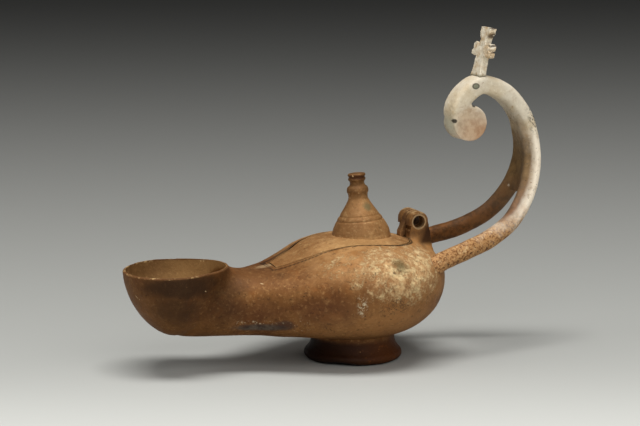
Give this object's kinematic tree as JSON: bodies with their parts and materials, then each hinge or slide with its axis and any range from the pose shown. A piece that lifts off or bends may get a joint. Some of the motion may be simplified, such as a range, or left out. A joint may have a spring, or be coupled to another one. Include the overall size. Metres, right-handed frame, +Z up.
{
  "type": "oil lamp",
  "caption": "Hollow bronze oil lamp with a wide cup nozzle, ring foot, hinged lid with a turned knob, and a two-armed handle that curls into a volute with a small cross.",
  "frame": {"origin": "on the plane that the foot stands on, below the middle of the lamp's length and width", "axes": "+X from the nozzle towards the handle, +Y across the lamp along the hinge axis, +Z up"},
  "size_m": [0.208, 0.0876, 0.1558],
  "materials": {
    "bronze_body": "worn brown patina with a cream crust, matt",
    "bronze_lid": "worn tan-brown patina, satin",
    "bronze_handle": "pale cream crust above, brown below, matt",
    "bronze_cross": "corroded cream crust, matt"
  },
  "bodies": {
    "body": {"lamp_body": "bronze_body", "handle": "bronze_handle", "handle_cross": "bronze_cross"},
    "lid": {"lid": "bronze_lid"}
  },
  "joints": [
    {"name": "lid_hinge", "type": "hinge", "parent": "body", "child": "lid", "pos_m": [0.03949, 0, 0.0644], "axis": [0, 1, 0], "range_deg": [0, 115]}
  ]
}
